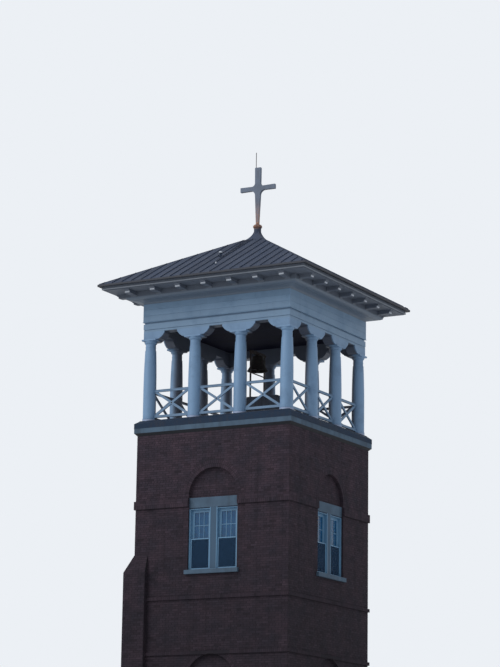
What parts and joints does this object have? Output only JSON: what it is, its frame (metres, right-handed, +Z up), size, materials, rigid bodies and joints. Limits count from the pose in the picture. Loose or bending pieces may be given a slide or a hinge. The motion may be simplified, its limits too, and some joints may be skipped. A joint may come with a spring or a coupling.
{
  "type": "bell tower",
  "caption": "Square brick bell tower with paired windows, an open colonnaded belfry, railings, a swinging bell and a low hipped metal roof with a cross.",
  "frame": {"origin": "centre of the shaft at ground level", "axes": "+Z up, front face with the buttress on its left towards -Y, +X to the right of that face"},
  "size_m": [7.28, 7.28, 23.959],
  "materials": {
    "brick": "dark red fired brick with sanded mortar",
    "stone_trim": "smooth weathered limestone",
    "dark_timber": "old dark stained boards",
    "white_paint": "white oil paint on timber, weathered",
    "window_glass": "old window glass",
    "roof_metal": "slate grey standing seam sheet",
    "iron": "painted iron, dull",
    "bell_bronze": "dark bell bronze"
  },
  "bodies": {
    "tower": {"front_wall": "brick", "right_wall": "brick", "back_wall": "brick", "left_wall": "brick", "front_left_buttress": "brick", "back_left_buttress": "brick", "ground_floor": "stone_trim", "middle_floor": "dark_timber", "upper_floor": "dark_timber", "window_sills": "stone_trim", "window_lintels": "stone_trim", "window_frames": "white_paint", "window_sashes": "white_paint", "window_glass": "window_glass", "door_frame": "white_paint", "door": "dark_timber", "front_coping": "stone_trim", "right_coping": "stone_trim", "back_coping": "stone_trim", "left_coping": "stone_trim", "belfry_deck": "dark_timber", "corner_columns": "white_paint", "middle_columns": "white_paint", "corner_brackets": "white_paint", "middle_brackets": "white_paint", "front_railing": "white_paint", "right_railing": "white_paint", "back_railing": "white_paint", "left_railing": "white_paint", "front_entablature": "white_paint", "right_entablature": "white_paint", "back_entablature": "white_paint", "left_entablature": "white_paint", "belfry_ceiling": "dark_timber", "eave_brackets": "white_paint", "front_eave": "white_paint", "right_eave": "white_paint", "back_eave": "white_paint", "left_eave": "white_paint", "roof": "roof_metal", "roof_finial": "roof_metal", "cross": "roof_metal", "lightning_rod": "iron", "bell_platform": "dark_timber", "bell_stand": "iron"},
    "bell": {"bell_yoke": "iron", "bell": "bell_bronze"},
    "clapper": {"clapper": "iron"}
  },
  "joints": [
    {"name": "bell_swing", "type": "hinge", "parent": "tower", "child": "bell", "pos_m": [0.07, 0, 17.35], "axis": [0, 1, 0], "range_deg": [-55, 55]},
    {"name": "clapper_swing", "type": "hinge", "parent": "bell", "child": "clapper", "pos_m": [0.07, 0, 17.199], "axis": [0, 1, 0], "range_deg": [-31, 31]}
  ]
}
